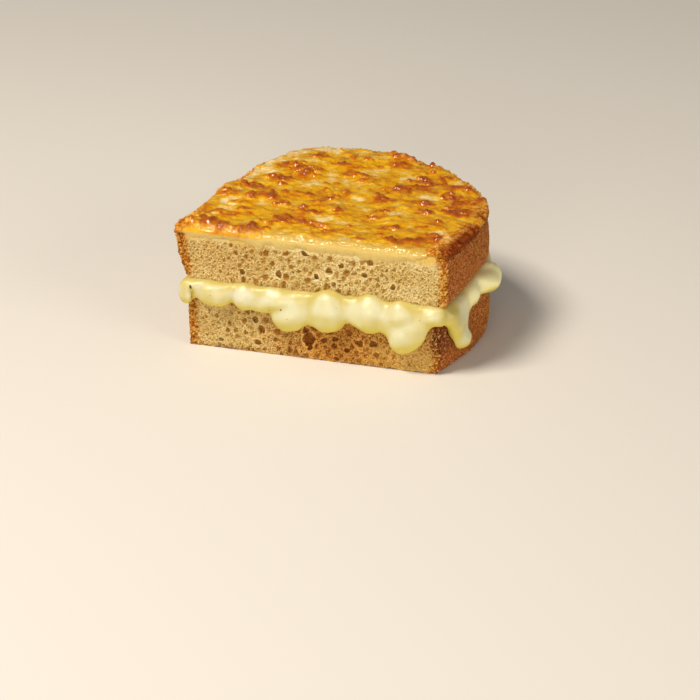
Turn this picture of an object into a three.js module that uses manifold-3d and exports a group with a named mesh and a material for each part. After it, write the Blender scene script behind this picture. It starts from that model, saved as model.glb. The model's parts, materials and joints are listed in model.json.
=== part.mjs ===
// One half of a grilled cheese sandwich, as it lies after the knife has gone through it: two thick slices
// of sourdough with a layer of melted cheese sauce between them that has run out over the edges, and a
// blistered layer of cheese baked onto the top slice.
//
// Units are millimetres, +Z up. The origin is on the flat underside of the bottom slice, below the middle of
// the slice. The cut face looks along -Y, and the straight crust of the loaf is on the +X side.
//
// Every piece is a closed skin that is lofted from rings. A ring runs once round the outline of the slice,
// and the rings go from the middle of the underside, out and up the wall, to the middle of the top.

import * as THREE from "three";
import { mergeVertices } from "three/addons/utils/BufferGeometryUtils.js";
import Module from "manifold-3d";

const wasm = await Module();
wasm.setup();

// ---- Driving dimensions ----

const CUT_LENGTH = 99.6; // the straight cut edge
const CUT_Y = -45; // the plane of the cut
const DEPTH = 92; // from the cut to the furthest point of the crust
const FLARE = 8.2; // how far the straight crust swings out beyond the end of the cut

const BOTTOM_SLICE = 21.5; // thickness of the bottom slice
const SAUCE = 5.8; // thickness of the cheese between the slices, at the cut
const TOP_SLICE = 18.6; // thickness of the top slice
const TOPPING = 2.3; // mean thickness of the baked cheese
const CUT_SINK = 1.8; // how much further the baked cheese has sunk into the top slice along the cut
const GAP = 0.3; // clearance between two pieces that touch

const BOTTOM_LEFT_IN = 4.4; // the bottom slice's -X crust stands this far in from the top slice's
const BOTTOM_RIGHT_OUT = 1; // and its straight crust this far out
const TOP_CORNER_OUT = 3.8; // how much longer the top slice's cut is at its +X end
const UNDERCUT = 4; // how far the top slice's -X crust leans in towards its lower edge
const LIFT = 1.4; // how much higher the top slice's underside is over by the straight crust
const BOTTOM_PINCH = 0.5; // how far the bottom slice's crust is drawn in at its foot and its upper edge
const EDGE_ROUND = 1.2; // rounding where a crust wall meets the flat of a slice
const CRUST_RELIEF = 0.45; // unevenness of the crust walls
const CUT_RELIEF = 0.2; // unevenness of the cut face

const SAUCE_TOP = BOTTOM_SLICE + SAUCE;
const TOP_SLICE_TOP = SAUCE_TOP + TOP_SLICE;
const TOTAL = TOP_SLICE_TOP + TOPPING + GAP;

// ---- Outline of the loaf's slice, seen from above ----

const LEFT = -CUT_LENGTH / 2 - 0.8;
const RIGHT = LEFT + CUT_LENGTH;
const WIDEST = RIGHT + FLARE;
const BACK_Y = CUT_Y + DEPTH;

const point = ([x, y]) => new THREE.Vector2(x, y);

// Six curves, in order round the slice and each with its two handles: the cut, the straight crust, the
// shoulder, the back, the round of the loaf's top crust, and the -X crust down to the cut. The cut ends at
// corner.
function curvesRound(corner) {
  const ends = [
    [[LEFT, CUT_Y], [LEFT / 3, CUT_Y], [corner / 3, CUT_Y]],
    [[corner, CUT_Y], [THREE.MathUtils.lerp(corner, WIDEST, 0.42), CUT_Y + 10], [WIDEST, CUT_Y + 22]],
    [[WIDEST, CUT_Y + 38], [WIDEST, CUT_Y + 58], [40, CUT_Y + 78]],
    [[19, BACK_Y - 5], [8, BACK_Y - 2], [2, BACK_Y + 1]],
    [[-13, BACK_Y], [-28, BACK_Y - 1], [-37, CUT_Y + 78]],
    [[-41, CUT_Y + 62], [-45, CUT_Y + 42], [-47.5, CUT_Y + 20]],
  ];
  return ends.map(([start, leave, arrive], i) => {
    const end = ends[(i + 1) % ends.length][0];
    return new THREE.CubicBezierCurve(point(start), point(leave), point(arrive), point(end));
  });
}

const CURVES = curvesRound(RIGHT);
const TOP_CURVES = curvesRound(RIGHT + TOP_CORNER_OUT);

// Points about step apart round the whole outline, stretched along X to run from left to widest. Each has
// its place, its outward normal, how far round it is from the -X end of the cut, and whether it is cut.
function outline(curves, step, left = LEFT, widest = WIDEST) {
  const places = [];
  let along = 0;
  curves.forEach((curve, i) => {
    const count = Math.round(curve.getLength() / step);
    curve
      .getSpacedPoints(count)
      .slice(0, count)
      .forEach((p, k) => {
        const x = THREE.MathUtils.mapLinear(p.x, LEFT, WIDEST, left, widest);
        places.push({ x, y: p.y, arc: along + (k / count) * curve.getLength(), cut: i === 0 });
      });
    along += curve.getLength();
  });
  places.forEach((p, i) => {
    const before = places.at(i - 1);
    const after = places[(i + 1) % places.length];
    const run = Math.hypot(after.x - before.x, after.y - before.y);
    p.nx = (after.y - before.y) / run;
    p.ny = (before.x - after.x) / run;
  });
  return places;
}

const AROUND = CURVES.reduce((sum, curve) => sum + curve.getLength(), 0);

const topOutline = (step) => outline(TOP_CURVES, step);
const bottomOutline = (step) =>
  outline(CURVES, step, LEFT + BOTTOM_LEFT_IN, WIDEST + BOTTOM_RIGHT_OUT);

// ---- Small helpers ----

const smooth = (t) => {
  const s = THREE.MathUtils.clamp(t, 0, 1);
  return s * s * (3 - 2 * s);
};

// A smooth unevenness between -1 and 1, whose bumps are about size across.
function uneven(x, y, z, size, seed) {
  const turn = (2 * Math.PI) / size;
  const waves = [
    [0.71, 0.43, 0.57],
    [-0.38, 0.83, 0.41],
    [0.52, -0.61, 0.6],
    [0.9, 0.2, -0.39],
  ];
  const sum = waves.reduce(
    (total, [a, b, c], i) =>
      total + Math.sin(turn * (0.7 + 0.17 * i) * (a * x + b * y + c * z) + seed * (1.3 + i)),
    0,
  );
  return sum / waves.length;
}

// How much the top slice's underside, and the sauce below it, rises towards the straight crust.
const lift = (x, y) => LIFT * smooth((x - 25) / 30) * smooth((y - CUT_Y - 10) / 16);

// How far the baked cheese has sunk into the top slice: all along the cut, but not at the straight crust.
const sink = (x, y) => CUT_SINK * smooth((CUT_Y + 14 - y) / 14) * smooth((RIGHT - 4 - x) / 8);

// ---- Lofting ----

// A closed skin through rings of equal length, closed at both ends by a point in the middle of the end ring.
function loft(rings) {
  const around = rings[0].length;
  const middle = (ring) =>
    ring.reduce((sum, p) => sum.add(p), new THREE.Vector3()).divideScalar(ring.length);
  const positions = rings.flat();
  const first = positions.push(middle(rings[0])) - 1;
  const last = positions.push(middle(rings.at(-1))) - 1;
  const faces = [];
  for (let i = 0; i < around; i++) {
    const j = (i + 1) % around;
    faces.push(first, j, i);
    for (let r = 0; r < rings.length - 1; r++) {
      const low = r * around;
      const high = low + around;
      faces.push(low + i, low + j, high + j, low + i, high + j, high + i);
    }
    const top = (rings.length - 1) * around;
    faces.push(top + i, top + j, last);
  }
  const geometry = new THREE.BufferGeometry().setFromPoints(positions);
  geometry.setIndex(faces);
  return geometry;
}

// A ring round the outline, moved out along its normals by out(place), at the height height(x, y, place).
const ringAt = (places, out, height) =>
  places.map((p) => {
    const reach = out(p);
    const x = p.x + p.nx * reach;
    const y = p.y + p.ny * reach;
    return new THREE.Vector3(x, y, height(x, y, p));
  });

// The same outline shrunk towards the middle of the slice, for the flats.
const innerRing = (places, share, height) =>
  places.map((p) => {
    const x = p.x * share;
    const y = p.y * share;
    return new THREE.Vector3(x, y, height(x, y, p));
  });

// ---- Boolean cuts ----

function solidOf(geometry) {
  const bare = geometry.clone();
  bare.deleteAttribute("normal");
  bare.deleteAttribute("uv");
  const merged = mergeVertices(bare, 1e-4);
  return new wasm.Manifold(
    new wasm.Mesh({
      numProp: 3,
      vertProperties: new Float32Array(merged.attributes.position.array),
      triVerts: new Uint32Array(merged.index.array),
    }),
  );
}

function geometryOf(solid) {
  const mesh = solid.getMesh();
  const geometry = new THREE.BufferGeometry();
  geometry.setAttribute("position", new THREE.BufferAttribute(mesh.vertProperties, 3));
  geometry.setIndex(new THREE.BufferAttribute(mesh.triVerts, 1));
  return geometry;
}

// ---- Bread ----

const SLICE_STEP = 4.2;

// One slice between two heights, where w runs from 0 at the foot of its wall to 1. bulge(w) moves the crust
// out, and undercut draws the foot of the -X crust in.
function sliceGeometry({ places, under, over, bulge, undercut, seed }) {
  const relief = (p, z) =>
    p.cut
      ? CUT_RELIEF * uneven(p.x, p.y, z, 9, seed)
      : CRUST_RELIEF * uneven(p.x, p.y, z, 16, seed + 5);
  const round = (p) => (p.cut ? EDGE_ROUND / 3 : EDGE_ROUND);
  const out = (p, w) => (p.cut ? 0 : bulge(w)) + relief(p, w * 18);
  const height = (x, y, p, w) => {
    const low = under(x, y) + round(p);
    const high = over(x, y) - round(p);
    return low + w * (high - low);
  };
  const drawIn = (ring, w) => {
    for (const v of ring) v.x += undercut * (1 - w) ** 1.6 * smooth(v.x / LEFT);
    return ring;
  };
  const wallRing = (w) =>
    drawIn(ringAt(places, (p) => out(p, w), (x, y, p) => height(x, y, p, w)), w);
  const edgeRing = (w, flat) => drawIn(ringAt(places, (p) => out(p, w) - round(p), flat), w);
  return loft([
    drawIn(innerRing(places, 0.5, under), 0),
    drawIn(innerRing(places, 0.8, under), 0),
    edgeRing(0, under),
    ...[0, 0.25, 0.5, 0.75, 1].map(wallRing),
    edgeRing(1, over),
    innerRing(places, 0.8, over),
    innerRing(places, 0.5, over),
  ]);
}

// The largest gas holes that the knife opened in each cut face: [x, z, half width, half height].
const BOTTOM_HOLES = [
  [-33.3, 3.6, 1.1, 1.1],
  [-19.9, 13.4, 1.4, 1.4],
  [-17.7, 9.4, 1.6, 2],
  [-19.2, 4.2, 1.6, 1.2],
  [0.6, 8, 2.2, 3],
  [6.6, 8.4, 1.3, 1.3],
  [10.8, 9.4, 1.2, 1.2],
  [15.2, 5.4, 1.3, 1.3],
  [20, 8.8, 1.6, 1.6],
  [25.2, 9.2, 1.5, 1.5],
  [26.6, 4.8, 1.3, 1.3],
];
const TOP_HOLES = [
  [-24.5, 31.8, 1.3, 1.2],
  [-10.8, 32.6, 1.2, 1.6],
  [-0.6, 42, 1.5, 1.4],
  [3.9, 33.5, 1.3, 1.2],
  [8.5, 36.1, 1.4, 1.8],
  [13, 39, 1.2, 1.4],
  [10.4, 31, 1.1, 1.3],
  [21.8, 36.3, 1.4, 1.2],
  [24, 41.4, 1.5, 1.6],
  [32.6, 33, 1.1, 1.4],
];
const HOLE_DEPTH = 1.2; // a hole's half depth, as a share of the larger of the other two
const HOLE_SET_BACK = 0.3; // how far behind the cut its middle is, in the same measure

const holes = (list) =>
  list.map(([x, z, halfWidth, halfHeight]) => {
    const size = Math.max(halfWidth, halfHeight);
    const ball = new THREE.IcosahedronGeometry(1, 1);
    ball.scale(halfWidth, HOLE_DEPTH * size, halfHeight);
    ball.translate(x, CUT_Y + HOLE_SET_BACK * size, z);
    return solidOf(ball);
  });

const opened = (geometry, cutters) =>
  geometryOf(cutters.reduce((solid, cutter) => solid.subtract(cutter), solidOf(geometry)));

const level = (z) => () => z;

function bottomSlice() {
  const geometry = sliceGeometry({
    places: bottomOutline(SLICE_STEP),
    under: level(0),
    over: level(BOTTOM_SLICE),
    bulge: (w) => 0.9 * Math.sin(Math.PI * w) - BOTTOM_PINCH,
    undercut: 0,
    seed: 2,
  });
  return opened(geometry, holes(BOTTOM_HOLES));
}

function topSlice() {
  const geometry = sliceGeometry({
    places: topOutline(SLICE_STEP),
    under: (x, y) => SAUCE_TOP + lift(x, y),
    over: (x, y) => TOP_SLICE_TOP - sink(x, y),
    bulge: (w) => 0.7 * Math.sin(Math.PI * w),
    undercut: UNDERCUT,
    seed: 7,
  });
  return opened(geometry, holes(TOP_HOLES));
}

// ---- Cheese sauce between the slices ----

// Where the sauce has run out: how far round the outline from the -X end of the cut, half the width of the
// run, how low it hangs and how far it stands out from the bread.
const RUNS = [
  { at: -6, half: 5, foot: 17.8, reach: 3.4 },
  { at: 2, half: 5, foot: 17, reach: 4.8 },
  { at: 12, half: 8, foot: 17.2, reach: 5 },
  { at: 30.5, half: 9.5, foot: 17, reach: 3.8 },
  { at: 43, half: 8, foot: 10.4, reach: 4.4 },
  { at: 56, half: 10, foot: 11.8, reach: 4.8 },
  { at: 74, half: 13, foot: 14.4, reach: 4.6 },
  { at: 87, half: 10, foot: 7.2, reach: 5 },
  { at: 100, half: 6.5, foot: 19.6, reach: 3 },
  { at: 110.5, half: 6.6, foot: 6, reach: 4.2 },
  { at: 121.5, half: 4.5, foot: 19.6, reach: 3.2 },
  { at: 136.5, half: 8.5, foot: 20.8, reach: 6.5 },
  { at: 184, half: 12, foot: 17.5, reach: 3.8 },
  { at: 207, half: 10, foot: 9.5, reach: 4.4 },
  { at: 229, half: 12, foot: 16.5, reach: 3.8 },
  { at: 254, half: 9, foot: 8.5, reach: 4.6 },
  { at: 276, half: 12, foot: 15.5, reach: 4 },
  { at: 301, half: 10, foot: 11, reach: 4.4 },
  { at: 321, half: 11, foot: 17, reach: 3.6 },
];
const LEAST_FOOT = BOTTOM_SLICE - 0.4; // the sauce's lower edge where none has run
const LEAST_REACH = 1;

// The largest run near a place, blended so that neighbours join in a soft saddle.
function runAt(arc, key, none) {
  const sharpness = 6;
  let sum = 0;
  for (const run of RUNS) {
    const away = Math.abs(((arc - run.at + 1.5 * AROUND) % AROUND) - AROUND / 2) / run.half;
    const shape = Math.max(0, 1 - away ** 2) ** 0.75;
    sum += (Math.abs(run[key] - none) * shape) ** sharpness;
  }
  return sum ** (1 / sharpness);
}

const footAt = (arc) => LEAST_FOOT - runAt(arc, "foot", LEAST_FOOT);
const reachAt = (arc) => LEAST_REACH + runAt(arc, "reach", LEAST_REACH);

function cheeseFilling() {
  const places = bottomOutline(2.7);
  const ceiling = (x, y) => SAUCE_TOP - GAP + lift(x, y);
  const floor = BOTTOM_SLICE + GAP;
  const crustAt = (p) => CRUST_RELIEF - BOTTOM_PINCH + smooth((BOTTOM_SLICE - footAt(p.arc)) / 5);
  const clear = (p) => GAP + (p.cut ? CUT_RELIEF : crustAt(p));
  // The outer skin at w, from 0 at the lower edge to 1 under the top slice: a rounded belly that is fullest
  // a third of the way up, and hangs fuller in a long run.
  const belly = (w) => ringAt(
    places,
    (p) => clear(p) + (reachAt(p.arc) - clear(p)) * (4 * w * (1 - w)) ** 0.45 * (1.12 - 0.3 * w),
    (x, y, p) => THREE.MathUtils.lerp(footAt(p.arc), ceiling(x, y), w),
  );
  const behind = (share) => ringAt(places, clear, (x, y, p) =>
    THREE.MathUtils.lerp(footAt(p.arc) + 0.5, BOTTOM_SLICE, share));
  return loft([
    innerRing(places, 0.5, level(floor)),
    ringAt(places, () => -1.5, level(floor)),
    behind(0.98),
    behind(0),
    ...[0.03, 0.1, 0.22, 0.4, 0.62, 0.82, 0.95].map(belly),
    ringAt(places, () => -0.4, ceiling),
    innerRing(places, 0.8, ceiling),
    innerRing(places, 0.5, ceiling),
  ]);
}

// ---- Cheese baked onto the top slice ----

// Lumps where the cheese has bubbled up highest: place, radius and height.
const LUMPS = [
  { x: -47, y: -41, radius: 6, height: 1.2 },
  { x: -43, y: -6, radius: 8, height: 2.2 },
  { x: -33, y: -10, radius: 7, height: 1.2 },
  { x: -17, y: 24, radius: 10, height: 1.5 },
  { x: 14, y: 41, radius: 8, height: 1.8 },
  { x: 29, y: 33, radius: 8, height: 1.4 },
  { x: 43, y: 14, radius: 8, height: 1.1 },
  { x: 24, y: 4, radius: 9, height: 1 },
  { x: -2, y: -14, radius: 8, height: 1 },
  { x: 38, y: -18, radius: 8, height: 0.9 },
];
const RIM_DROOP = 0.7; // how far the baked cheese's edge sinks below its middle

function cheeseTopping() {
  const places = topOutline(3.4);
  const underside = (x, y) => TOP_SLICE_TOP + GAP - sink(x, y);
  const lumpAt = (x, y, lump) => {
    const away = ((x - lump.x) ** 2 + (y - lump.y) ** 2) / lump.radius ** 2;
    return lump.height * Math.exp(-2 * away);
  };
  const heightAt = (x, y) =>
    LUMPS.reduce(
      (z, lump) => z + lumpAt(x, y, lump),
      TOTAL + 0.35 * uneven(x, y, 0, 21, 3) + 0.25 * uneven(x, y, 0, 11, 8),
    );
  const overhang = (p) => (p.cut ? 0.1 : 0.3 + 0.4 * uneven(p.x, p.y, 0, 13, 6));
  const sideRing = (w, inset) =>
    ringAt(places, (p) => overhang(p) - inset, (x, y) =>
      THREE.MathUtils.lerp(underside(x, y), heightAt(x, y) - RIM_DROOP, w));
  const tops = [0.93, 0.85, 0.76, 0.66, 0.55, 0.43, 0.3, 0.15];
  return loft([
    innerRing(places, 0.5, underside),
    innerRing(places, 0.8, underside),
    sideRing(0, 0.5),
    sideRing(0.2, 0),
    sideRing(0.75, 0.1),
    sideRing(1, 1),
    ...tops.map((share) => innerRing(places, share, (x, y) => heightAt(x, y))),
  ]);
}

// ---- The sandwich ----

const finish = (color, roughness) => new THREE.MeshStandardMaterial({ color, roughness, metalness: 0 });

const PIECES = [
  ["bottom_slice", bottomSlice, finish(0xc89b5c, 0.85)],
  ["cheese_filling", cheeseFilling, finish(0xf0e4a0, 0.35)],
  ["top_slice", topSlice, finish(0xd2a868, 0.85)],
  ["cheese_topping", cheeseTopping, finish(0xdc9a34, 0.4)],
];

const sandwich = new THREE.Group();
sandwich.name = "grilled_cheese_half";
for (const [name, make, material] of PIECES) {
  const geometry = make();
  geometry.computeVertexNormals();
  const mesh = new THREE.Mesh(geometry, material);
  mesh.name = name;
  sandwich.add(mesh);
}

export default sandwich;
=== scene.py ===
# %% [markdown]
# # Half of a grilled cheese sandwich
#
# Two thick slices of sourdough, melted cheese sauce between them and a baked, blistered layer of cheese on
# top. The sandwich was cut in two after it was toasted, so one long side shows the open crumb and the sauce
# that has run down over it.
#
# Its solids come from the frame: four nodes at their real size, in metres, with the cut face looking along
# -Y and the straight crust at the +X end. Each piece starts from a copy of its node, gets the fine shape
# that a solid leaves out, and takes the node's place.

# %% Load the frame
import json
import math
import random

import bpy
import numpy as np
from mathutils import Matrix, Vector
from mathutils import noise as perlin
from mathutils.bvhtree import BVHTree

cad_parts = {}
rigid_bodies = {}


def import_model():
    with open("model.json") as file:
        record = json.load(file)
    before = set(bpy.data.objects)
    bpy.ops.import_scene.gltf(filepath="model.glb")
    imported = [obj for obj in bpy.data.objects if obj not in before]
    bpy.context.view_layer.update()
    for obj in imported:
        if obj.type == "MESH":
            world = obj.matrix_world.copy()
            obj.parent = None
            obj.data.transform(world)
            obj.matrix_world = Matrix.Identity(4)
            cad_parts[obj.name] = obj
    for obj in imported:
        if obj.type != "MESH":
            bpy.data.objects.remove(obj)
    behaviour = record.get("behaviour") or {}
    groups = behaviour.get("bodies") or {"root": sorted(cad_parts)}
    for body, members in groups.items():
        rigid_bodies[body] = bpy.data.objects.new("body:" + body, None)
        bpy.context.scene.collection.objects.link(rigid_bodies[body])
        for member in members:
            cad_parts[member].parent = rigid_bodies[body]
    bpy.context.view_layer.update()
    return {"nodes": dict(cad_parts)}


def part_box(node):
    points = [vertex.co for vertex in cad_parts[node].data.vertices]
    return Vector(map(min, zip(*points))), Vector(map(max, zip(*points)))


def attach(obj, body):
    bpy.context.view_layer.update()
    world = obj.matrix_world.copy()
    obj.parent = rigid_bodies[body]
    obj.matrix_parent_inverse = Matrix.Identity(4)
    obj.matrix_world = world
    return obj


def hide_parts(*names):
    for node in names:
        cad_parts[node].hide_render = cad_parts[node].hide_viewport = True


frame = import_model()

MM = 0.001
CUT_Y = -45.0  # the plane of the cut, in mm
front_of_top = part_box("top_slice")[0][1] / MM
print("front of the top slice at", round(front_of_top, 2), "mm")

# %% [markdown]
# ## Tools that every piece needs
#
# An operator acts on whatever is selected, so each helper first selects the one object that it is meant
# for. A copied node is a heap of loose triangles. Merging the points that lie on each other makes it one
# skin, and Remesh spreads points evenly over it, so that there is something to push and pull everywhere.

# %% Select, apply, copy
def only(piece):
    bpy.ops.object.select_all(action="DESELECT")
    piece.select_set(True)
    bpy.context.view_layer.objects.active = piece


def apply_modifier(piece, kind, **settings):
    only(piece)
    modifier = piece.modifiers.new(kind.title(), kind)
    for key, value in settings.items():
        setattr(modifier, key, value)
    bpy.ops.object.modifier_apply(modifier=modifier.name)


def joined(parts, into):
    only(into)
    for part in parts:
        part.select_set(True)
    bpy.ops.object.join()
    return into


def one_skin(node_name, name):
    """A copy of a frame node as one skin, standing on its own."""
    only(frame["nodes"][node_name])
    bpy.ops.object.duplicate()
    piece = bpy.context.active_object
    bpy.ops.object.parent_clear(type="CLEAR_KEEP_TRANSFORM")
    piece.name = piece.data.name = name
    piece.data.materials.clear()
    bpy.ops.object.mode_set(mode="EDIT")
    bpy.ops.mesh.select_all(action="SELECT")
    bpy.ops.mesh.remove_doubles(threshold=0.01 * MM)
    bpy.ops.object.mode_set(mode="OBJECT")
    return piece


def remesh(piece, size):
    apply_modifier(piece, "REMESH", mode="VOXEL", voxel_size=size * MM, adaptivity=0)


def triangles(piece):
    return sum(len(face.vertices) - 2 for face in piece.data.polygons)


# %% Read the points of a piece, in mm, and their normals
def vectors_of(piece, name):
    flat = np.empty(3 * len(piece.data.vertices))
    piece.data.vertices.foreach_get(name, flat)
    return flat.reshape(-1, 3)


def points_of(piece):
    return vectors_of(piece, "co") / MM


def normals_of(piece):
    return vectors_of(piece, "normal")


# %% Store a number on every point: paint is for a material to read, and weigh for a modifier
def paint(piece, name, values):
    attribute = piece.data.attributes.new(name, "FLOAT", "POINT")
    attribute.data.foreach_set("value", np.asarray(values, dtype=np.float32))


def weigh(piece, name, values):
    group = piece.vertex_groups.new(name=name)
    for i in np.nonzero(values > 0.004)[0]:
        group.add([int(i)], float(values[i]), "REPLACE")


# %% Soft numbers, so that nothing begins or ends at a hard line
def smoothstep(values, low, high):
    t = np.clip((np.asarray(values) - low) / (high - low), 0, 1)
    return t * t * (3 - 2 * t)


def wobble(points, size, seed):
    """A soft random value from -1 to 1 for each point, which changes over about size mm."""
    shift = Vector((seed * 7.3, seed * 3.1, seed * 5.7))
    return np.array([perlin.noise(Vector(p) / size + shift) for p in points])


# %% [markdown]
# ## Bread
#
# Round the outside of a slice is a rough, floury crust. Inside is crumb, which is a foam: gas blew it up in
# the oven, the bubbles pressed against each other until only thin walls were left, and the knife opened
# every bubble that it passed through.
#
# A bump pattern would do for bread seen from afar. Here the open bubbles throw shadows and the grain of the
# crust shows on the outline, so both are real relief. Dividing the whole slice that finely would take over
# a million triangles, so only the faces that carry detail are divided: the crust once, the crust that shows
# best twice, and the cut face the most.

# %% Which points of a slice are on the cut, and which on the crust
SLICE_MESH = 1.2  # mm between two points, before any face is divided


def facing(piece):
    points, normals = points_of(piece), normals_of(piece)
    x, y = points[:, 0], points[:, 1]
    upright = np.abs(normals[:, 2]) < 0.72
    cut = (y < CUT_Y + 0.8) & (normals[:, 1] < -0.6)
    in_hole = (y < CUT_Y + 6) & (x > x[cut].min() + 3) & (x < x[cut].max() - 3)
    return cut, upright & ~cut & ~in_hole


# %% Divide the faces that carry detail
STRAIGHT_CRUST_X = 42  # beyond this is the straight crust
BEST_SEEN_Y = 8  # and in front of this it shows best


def divide(piece, chosen, cuts=1):
    """Divides the faces whose points are all chosen."""
    only(piece)
    bpy.ops.object.mode_set(mode="EDIT")
    bpy.ops.mesh.select_mode(type="VERT")
    bpy.ops.mesh.select_all(action="DESELECT")
    bpy.ops.object.mode_set(mode="OBJECT")
    piece.data.vertices.foreach_set("select", chosen)
    faces_in = [all(chosen[v] for v in face.vertices) for face in piece.data.polygons]
    piece.data.polygons.foreach_set("select", faces_in)
    bpy.ops.object.mode_set(mode="EDIT")
    bpy.ops.mesh.subdivide(number_cuts=cuts)
    bpy.ops.object.mode_set(mode="OBJECT")


def divide_slice(piece):
    cut, crust = facing(piece)
    divide(piece, cut | crust)
    cut, crust = facing(piece)
    x, y, z = points_of(piece).T
    divide(piece, crust & ((y < CUT_Y + 4) | (x > STRAIGHT_CRUST_X) & (y < BEST_SEEN_Y)))
    cut, crust = facing(piece)
    divide(piece, cut, 2)


# %% [markdown]
# ### Open bubbles
#
# Blender's cell pattern would give a foam at once, but all its bubbles are about the same size. In a slice
# they come in every size, wide in the middle and small near the crust, and they nestle against each other.
# So they are dropped on the cut face one by one, wide ones first, and a bubble stays only where it finds
# room. Each point of the face then lies as deep as the bowl that it is in. The wobble makes the bowls less
# round.

# %% Bubbles, crowded like a foam
# Radii in mm: the smallest, the widest near the crust, and the widest in the middle of the slice.
LARGE_BUBBLES = (0.36, 0.6, 1.3)
FINE_BUBBLES = (0.2, 0.4, 0.4)
LARGE_TRIES = 2000
FINE_TRIES = 30000
CROWDING = 0.95  # two bubbles may come as near as this part of the sum of their radii
BUBBLE_HEIGHT = 1.25  # how much higher than wide a bubble is, as the loaf rose upwards
DEEPEST = 1.8  # mm


def foam_of_bubbles(face, sizes, open_middle, holes, tries, seed):
    """Drops bubbles on a face, wide ones first, and keeps those that find room: x, z and radius of each."""
    draw = random.Random(seed)
    (x0, x1), (z0, z1) = face
    smallest, widest_outside, widest_inside = sizes
    kept = np.zeros((tries + len(holes), 3))
    kept[: len(holes)] = [(x, z / BUBBLE_HEIGHT, max(wide, high)) for x, z, wide, high in holes]
    count = len(holes)
    for turn in range(tries):
        x, z = draw.uniform(x0, x1), draw.uniform(z0, z1) / BUBBLE_HEIGHT
        outside = smoothstep(abs(x - open_middle[0]), open_middle[1] * 0.4, open_middle[1])
        widest = widest_inside + (widest_outside - widest_inside) * outside
        radius = smallest + (widest - smallest) * (1 - turn / tries) ** 3
        others = kept[:count]
        if (np.hypot(others[:, 0] - x, others[:, 1] - z) > CROWDING * (others[:, 2] + radius)).all():
            kept[count] = x, z, radius
            count += 1
    return kept[len(holes) : count]


def hollowed(points, bubbles, shallow, steep, seed):
    """How deep each point lies in its bubble, in mm, for depths of shallow to steep times the radius."""
    draw = random.Random(seed)
    x = points[:, 0] + 0.5 * wobble(points, 1.1, seed)
    z = (points[:, 2] + 0.5 * wobble(points, 1.1, seed + 1)) / BUBBLE_HEIGHT
    deep = np.zeros(len(points))
    for bubble_x, bubble_z, radius in bubbles:
        room = 1 - ((x - bubble_x) ** 2 + (z - bubble_z) ** 2) / radius**2
        inside = room > 0
        depth = radius * (shallow + (steep - shallow) * draw.random() ** 2)
        deep[inside] = np.maximum(deep[inside], depth * np.sqrt(room[inside]))
    return deep


# %% Weights of a slice
def weigh_crumb(piece, cut, face, open_middle, filled_above, holes, seed):
    """How deep each point lies in a bubble. Crumb higher than filled_above, in mm, is full of cheese."""
    points = points_of(piece)
    height = points[:, 2] + 1.6 * wobble(points, 2.5, 4)
    dry = 1 - smoothstep(height, filled_above - 3.0, filled_above - 0.8)
    (x0, x1), (z0, z1) = face
    wider = ((x0 - 5, x1 + 5), (z0 - 1, z1 + 1))
    large = foam_of_bubbles(wider, LARGE_BUBBLES, open_middle, holes, LARGE_TRIES, seed)
    fine = foam_of_bubbles(wider, FINE_BUBBLES, open_middle, holes, FINE_TRIES, seed + 1)
    deep = np.zeros(len(points))
    deep[cut] = hollowed(points[cut], large, 0.3, 1.0, seed)
    deep[cut] += hollowed(points[cut], fine, 0.7, 1.5, seed + 2)
    weigh(piece, "cut", cut * dry)
    weigh(piece, "bubbles", (dry * deep / DEEPEST).clip(0, 1))
    print(piece.name, "-", len(large), "wide and", len(fine), "fine open bubbles")


def weigh_edges(piece):
    """The lower and upper edge of the cut face."""
    x, y, z = points_of(piece).T
    front = 1 - smoothstep(y, CUT_Y + 1.5, CUT_Y + 4)
    weigh(piece, "lower edge", front * (1 - smoothstep(z, z.min() + 0.6, z.min() + 2.4)))
    weigh(piece, "upper edge", front * smoothstep(z, z.max() - 3.2, z.max() - 1.4))


# %% [markdown]
# ### Relief from patterns
#
# The Displace modifier moves points by the brightness of a pattern, and a vertex group says how much of
# that reaches each point. Several on top of each other look more like bread than one: slow swellings, then
# grit, then sand. With no pattern it moves the group's points evenly. It reads the old texture blocks,
# which need no material.

# %% Patterns for the Displace modifier
def grain(name, kind, size, **settings):
    """A pattern with blots about size millimetres across."""
    texture = bpy.data.textures.new(name, kind)
    texture.noise_scale = size * MM
    for key, value in settings.items():
        setattr(texture, key, value)
    return texture


def cells(name, size):
    """Round bowls with broad ridges between them: the distance to the nearest of many scattered points."""
    return grain(name, "VORONOI", size, distance_metric="DISTANCE")


CRUST_SWELL = grain("crust swellings", "CLOUDS", 2.6, noise_depth=1)
CRUST_GRIT = grain("crust grit", "CLOUDS", 1.1, noise_depth=2)
CRUST_SAND = grain("crust sand", "CLOUDS", 0.55, noise_depth=1)
CRUMB_DRAG = grain("crumb dragged by the knife", "CLOUDS", 3.0, noise_depth=2)
CRUMB_FRAY = grain("frayed edge of the crumb", "CLOUDS", 1.5, noise_depth=2)
TINY_CELLS = cells("tiny cells", 0.55)


# %% Press a pattern in, or shift a group
def press(piece, group, texture, height, level=0.5, direction="NORMAL", texture_coords="LOCAL", **settings):
    """Moves a group's points by a pattern, height in mm from its darkest to its brightest place, and not at
    all where it is as bright as level."""
    apply_modifier(
        piece, "DISPLACE", texture=texture, strength=height * MM, mid_level=level, vertex_group=group,
        direction=direction, texture_coords=texture_coords, **settings,
    )


def shift(piece, group, distance, direction):
    """Moves a group's points by their weight times distance, in mm."""
    apply_modifier(
        piece, "DISPLACE", strength=distance * MM, mid_level=0, vertex_group=group, direction=direction,
    )


# %% How far each point lies from a part of the skin, such as the crust
def skin_tree(piece, chosen):
    faces = [tuple(f.vertices) for f in piece.data.polygons if all(chosen[v] for v in f.vertices)]
    return BVHTree.FromPolygons([v.co for v in piece.data.vertices], faces)


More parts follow.
